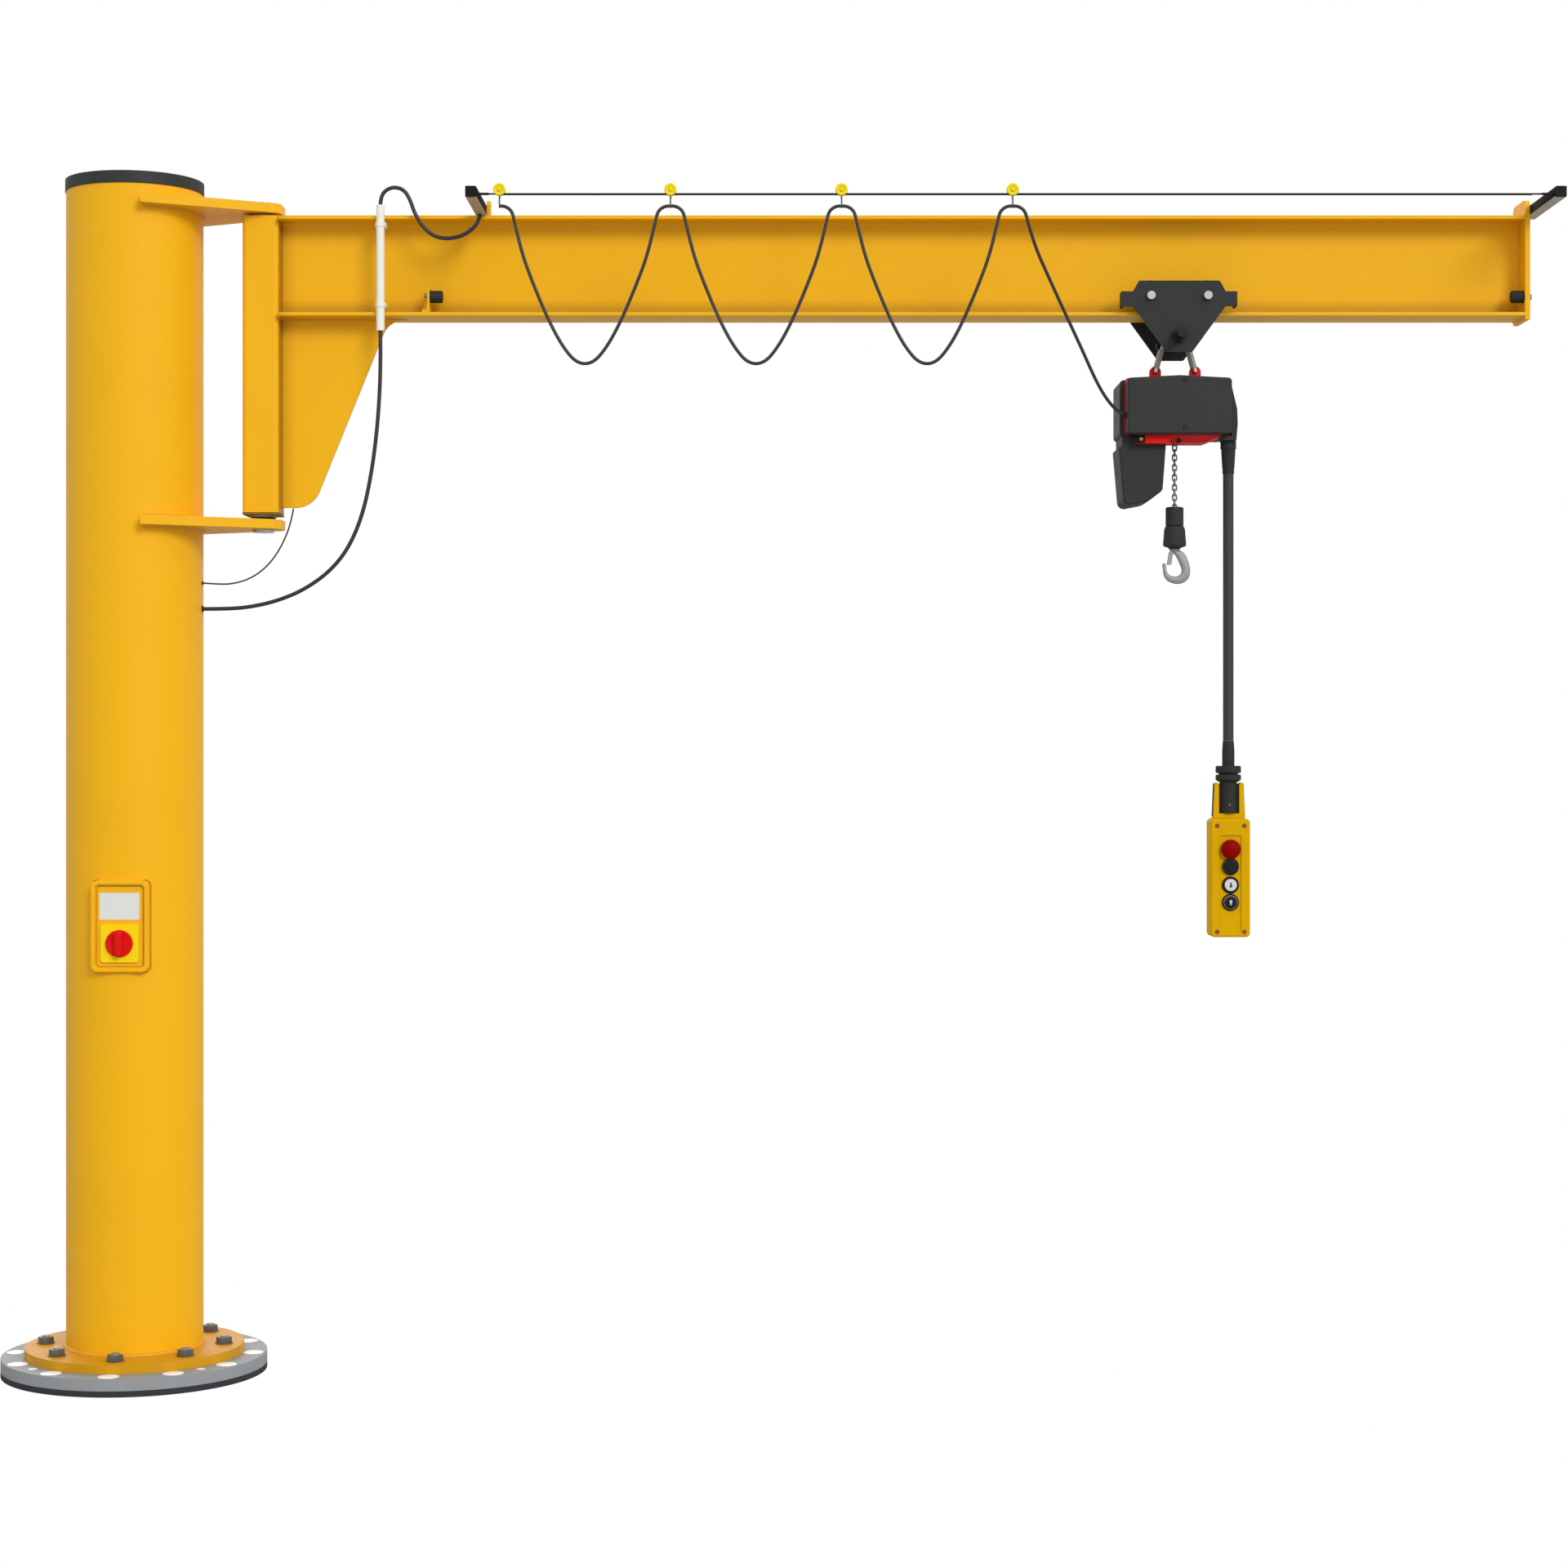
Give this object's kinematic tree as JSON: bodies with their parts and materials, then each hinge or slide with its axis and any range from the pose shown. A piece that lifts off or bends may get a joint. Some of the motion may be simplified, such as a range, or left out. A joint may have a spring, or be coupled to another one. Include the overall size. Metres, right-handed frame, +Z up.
{
  "type": "pillar jib crane",
  "caption": "Pillar jib crane: tube column on a bolted base, slewing I-beam jib, electric chain hoist on a push trolley, festoon cable and hanging push-button pendant.",
  "frame": {"origin": "centre of the base's underside, on the floor, on the column's axis", "axes": "+Z up along the column, +X out along the jib at rest, -Y towards the festoon wire side"},
  "size_m": [4.6245, 0.788, 3.587],
  "materials": {
    "paint_yellow": "satin powder coat",
    "plate_grey": "matt primer",
    "mat_dark": "matt rubber",
    "cap_slate": "matt moulded",
    "steel_bright": "turned and zinc plated",
    "rail_zinc": "satin powder coat",
    "black_plastic": "matt moulded",
    "rubber_black": "moulded rubber",
    "cable_black": "rubber sheath",
    "earth_sheath": "thin sheath",
    "conduit_white": "smooth tube",
    "switch_yellow": "moulded",
    "knob_red": "moulded",
    "roller_yellow": "moulded",
    "trolley_dark": "matt powder coat",
    "hoist_red": "satin paint on casting",
    "hoist_cover": "fine spark-eroded texture",
    "container_dark": "matt moulded",
    "pendant_yellow": "moulded",
    "button_red": "moulded",
    "button_black": "moulded",
    "button_white": "moulded",
    "chain_steel": "hardened and blackened",
    "hook_steel": "forged and shot blasted"
  },
  "bodies": {
    "column": {"floor_mat": "mat_dark", "anchor_plate": "plate_grey", "base_flange": "paint_yellow", "column_tube": "paint_yellow", "column_cap": "cap_slate", "column_glands": "black_plastic", "bearing_plate_upper": "paint_yellow", "bearing_plate_lower": "paint_yellow", "pivot_pins": "steel_bright", "switch_frame": "paint_yellow", "isolator_plate": "switch_yellow", "supply_cable_lower": "cable_black", "earth_cable": "earth_sheath"},
    "isolator": {"isolator_knob": "knob_red"},
    "jib": {"pivot_post": "paint_yellow", "jib_beam": "paint_yellow", "haunch_plate": "paint_yellow", "beam_end_plate": "paint_yellow", "stop_brackets": "paint_yellow", "buffers": "rubber_black", "wire_arms": "rail_zinc", "arm_caps": "black_plastic", "arm_lug": "paint_yellow", "tension_wire": "steel_bright", "cable_clip_fixed": "roller_yellow", "cable_conduit": "conduit_white", "supply_cable_upper": "cable_black", "festoon_loop_1": "cable_black", "festoon_loop_2": "cable_black", "festoon_loop_3": "cable_black"},
    "trolley_2": {"cable_trolley_2": "roller_yellow"},
    "trolley_3": {"cable_trolley_3": "roller_yellow"},
    "trolley_4": {"cable_trolley_4": "roller_yellow"},
    "hoist": {"trolley_plates": "trolley_dark", "trolley_wheels": "steel_bright", "wheel_axles": "steel_bright", "suspension_bar": "trolley_dark", "suspension_links": "steel_bright", "hoist_housing": "hoist_red", "hoist_cover_front": "hoist_cover", "hoist_cover_rear": "hoist_cover", "hoist_side_box": "hoist_cover", "chain_container": "container_dark", "hoist_glands": "rubber_black", "pendant_cable": "cable_black", "pendant_gland": "rubber_black", "pendant_body": "pendant_yellow", "pendant_strap": "pendant_yellow", "festoon_drop": "cable_black"},
    "stop_press": {"stop_button": "button_red"},
    "lift_press": {"lift_button": "button_black"},
    "lower_press": {"lower_button": "button_white"},
    "travel_press": {"travel_button": "button_black"},
    "hook_block": {"load_chain": "chain_steel", "chain_sleeve": "rubber_black", "hook_block": "hoist_cover"},
    "hook": {"hook": "hook_steel"},
    "latch": {"hook_latch": "steel_bright"}
  },
  "joints": [
    {"name": "jib_slew", "type": "hinge", "parent": "column", "child": "jib", "pos_m": [0.388, 0, 3.034], "axis": [0, 0, 1], "range_deg": [-120, 120], "deforming": ["supply_cable_lower", "earth_cable"]},
    {"name": "isolator_turn", "type": "hinge", "parent": "column", "child": "isolator", "pos_m": [0, -0.213, 1.302], "axis": [0, 1, 0], "range_deg": [0, 90]},
    {"name": "hoist_travel", "type": "slide", "parent": "jib", "child": "hoist", "axis": [1, 0, 0], "range_m": [-2.025, 0.824], "deforming": ["festoon_drop"]},
    {"name": "clip_2_travel", "type": "slide", "parent": "jib", "child": "trolley_2", "axis": [1, 0, 0], "range_m": [-0.4455, 0.1813], "deforming": ["festoon_loop_1"]},
    {"name": "clip_3_travel", "type": "slide", "parent": "jib", "child": "trolley_3", "axis": [1, 0, 0], "range_m": [-0.891, 0.3626], "deforming": ["festoon_loop_2"]},
    {"name": "clip_4_travel", "type": "slide", "parent": "jib", "child": "trolley_4", "axis": [1, 0, 0], "range_m": [-1.3365, 0.5439], "deforming": ["festoon_loop_3"]},
    {"name": "stop_push", "type": "slide", "parent": "hoist", "child": "stop_press", "axis": [0, 1, 0], "range_m": [0, 0.004], "stiffness_N_per_m": 600, "springref_m": -0.003},
    {"name": "lift_push", "type": "slide", "parent": "hoist", "child": "lift_press", "axis": [0, 1, 0], "range_m": [0, 0.004], "stiffness_N_per_m": 600, "springref_m": -0.003},
    {"name": "lower_push", "type": "slide", "parent": "hoist", "child": "lower_press", "axis": [0, 1, 0], "range_m": [0, 0.004], "stiffness_N_per_m": 600, "springref_m": -0.003},
    {"name": "travel_push", "type": "slide", "parent": "hoist", "child": "travel_press", "axis": [0, 1, 0], "range_m": [0, 0.004], "stiffness_N_per_m": 600, "springref_m": -0.003},
    {"name": "hook_lift", "type": "slide", "parent": "hoist", "child": "hook_block", "axis": [0, 0, 1], "range_m": [-0.09, 0.08]},
    {"name": "hook_swivel", "type": "hinge", "parent": "hook_block", "child": "hook", "pos_m": [3.142, 0, 2.5], "axis": [0, 0, 1], "continuous": true},
    {"name": "latch_swing", "type": "hinge", "parent": "hook", "child": "latch", "pos_m": [3.132, 0, 2.469], "axis": [0, -1, 0], "range_deg": [0, 35], "stiffness_Nm_per_rad": 0.06, "springref_deg": -20.05}
  ],
  "couplings": [
    {"joint": "clip_2_travel", "follows": "hoist_travel", "ratio": 0.22},
    {"joint": "clip_3_travel", "follows": "hoist_travel", "ratio": 0.44},
    {"joint": "clip_4_travel", "follows": "hoist_travel", "ratio": 0.66}
  ]
}
